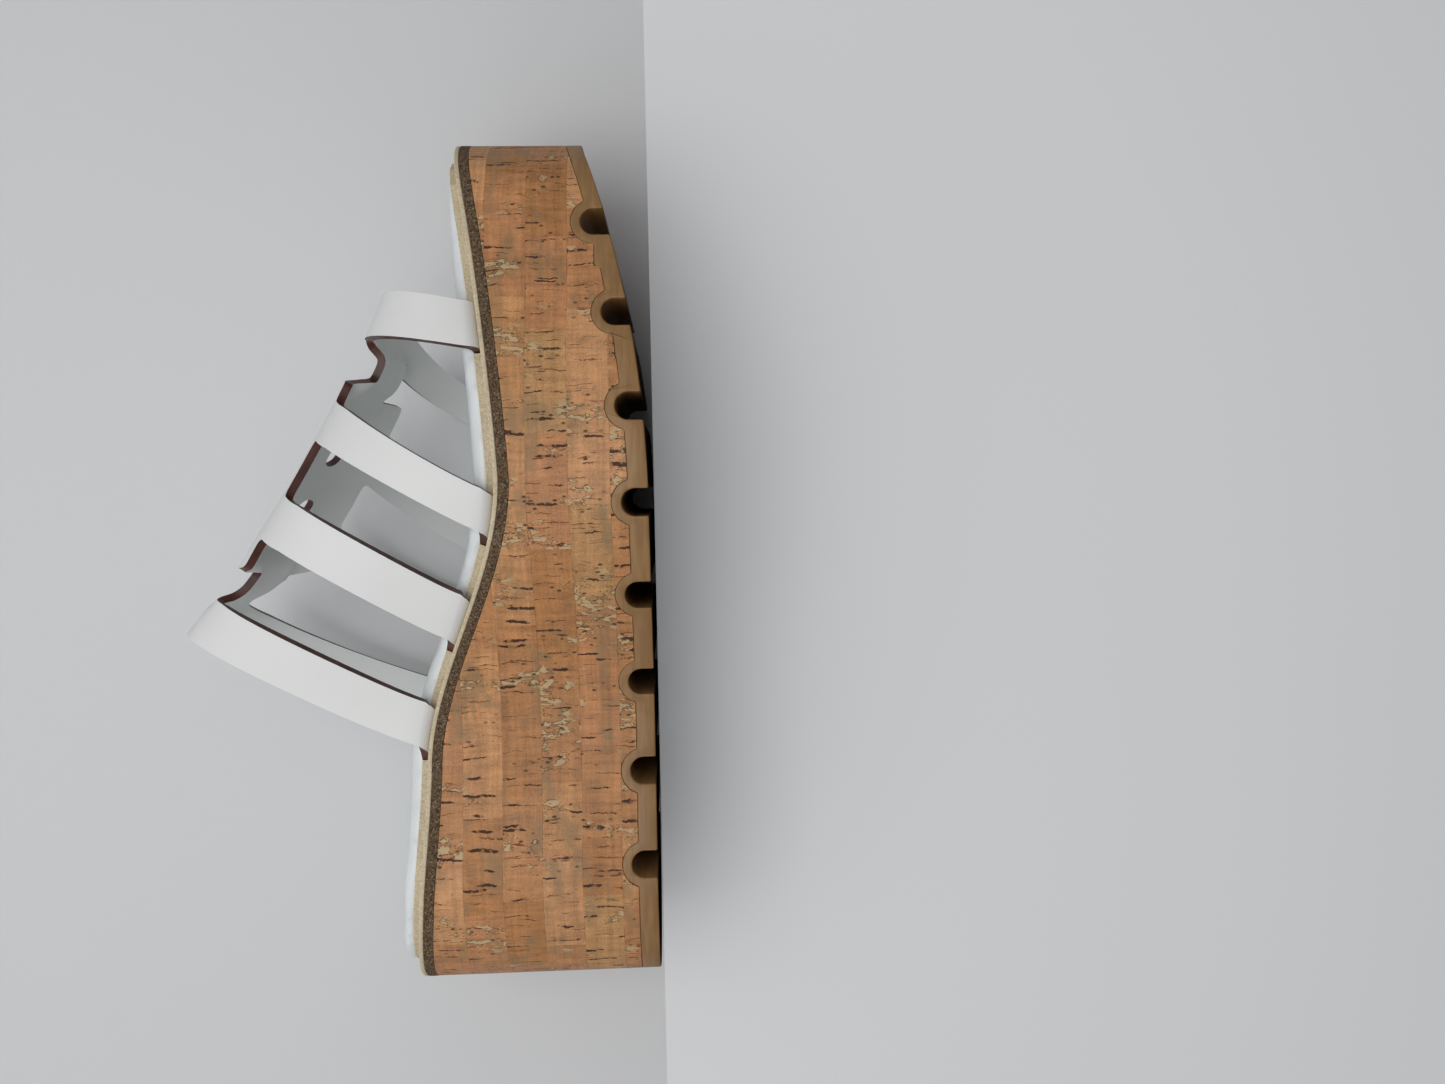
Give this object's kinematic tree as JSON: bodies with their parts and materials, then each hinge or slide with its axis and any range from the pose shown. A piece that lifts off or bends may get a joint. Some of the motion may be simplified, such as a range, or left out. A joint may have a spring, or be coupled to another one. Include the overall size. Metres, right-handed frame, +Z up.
{
  "type": "wedge sandal",
  "caption": "Slip-on platform wedge sandal: cork-wrapped wedge on a channelled rubber sole, padded footbed, and an open caged upper joined by a spine over the instep.",
  "frame": {"origin": "middle of the bounding box at the ground: between heel tip and toe tip, on the plane the sole stands on", "axes": "+X from heel to toe, +Y towards the outer side of the foot (a left sandal), +Z up"},
  "size_m": [0.2556, 0.089, 0.1434],
  "materials": {
    "gum_rubber": "satin caramel gum rubber",
    "core_foam": "closed-cell foam, unseen",
    "cork_veneer": "natural cork veneer in strips, satin",
    "brown_board": "raw speckled brown edge",
    "cream_board": "smooth cream edge",
    "filler_board": "plain, unseen",
    "footbed_foam": "soft foam, unseen",
    "sock_leather": "white padded leather, soft gloss, fine wrinkles",
    "upper_leather": "smooth white leather with brown painted edges",
    "lining_leather": "pale grey lining leather"
  },
  "bodies": {
    "root": {"outsole": "gum_rubber", "wedge_core": "core_foam", "cork_wrap": "cork_veneer", "midsole_board": "brown_board", "insole_board": "cream_board", "strap_filler": "filler_board", "footbed_foam": "footbed_foam", "sock_lining": "sock_leather", "upper_leather": "upper_leather", "upper_lining": "lining_leather"}
  },
  "joints": []
}
